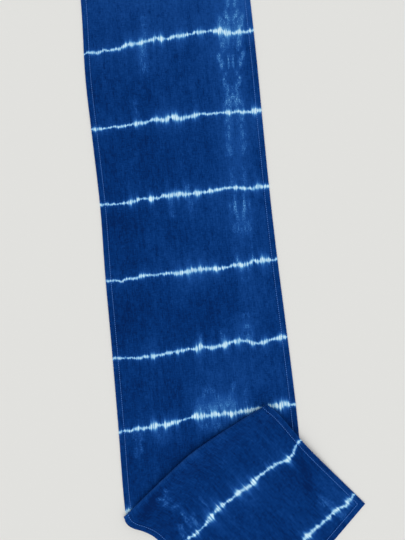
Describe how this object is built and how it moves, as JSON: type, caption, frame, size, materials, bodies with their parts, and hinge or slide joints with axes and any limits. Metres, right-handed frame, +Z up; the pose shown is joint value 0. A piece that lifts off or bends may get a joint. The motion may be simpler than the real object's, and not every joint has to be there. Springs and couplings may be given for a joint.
{
  "type": "shibori dyed cloth runner",
  "caption": "Long narrow indigo cotton runner with white bound-resist lines, laid flat on a surface, its low end turned aside by a wedge-shaped pleat.",
  "frame": {"origin": "middle of the box's underside, on the surface that the cloth lies on", "axes": "+Y along the main run towards its far end, +X to the right of the run, towards the side that the low end points to, +Z up, away from the surface"},
  "size_m": [0.3832, 1.439, 0.014],
  "materials": {
    "cloth": "matt plain-woven cotton, indigo with white resist lines",
    "thread": "matt cotton sewing thread, mid blue"
  },
  "bodies": {
    "root": {"runner": "cloth"}
  },
  "joints": []
}
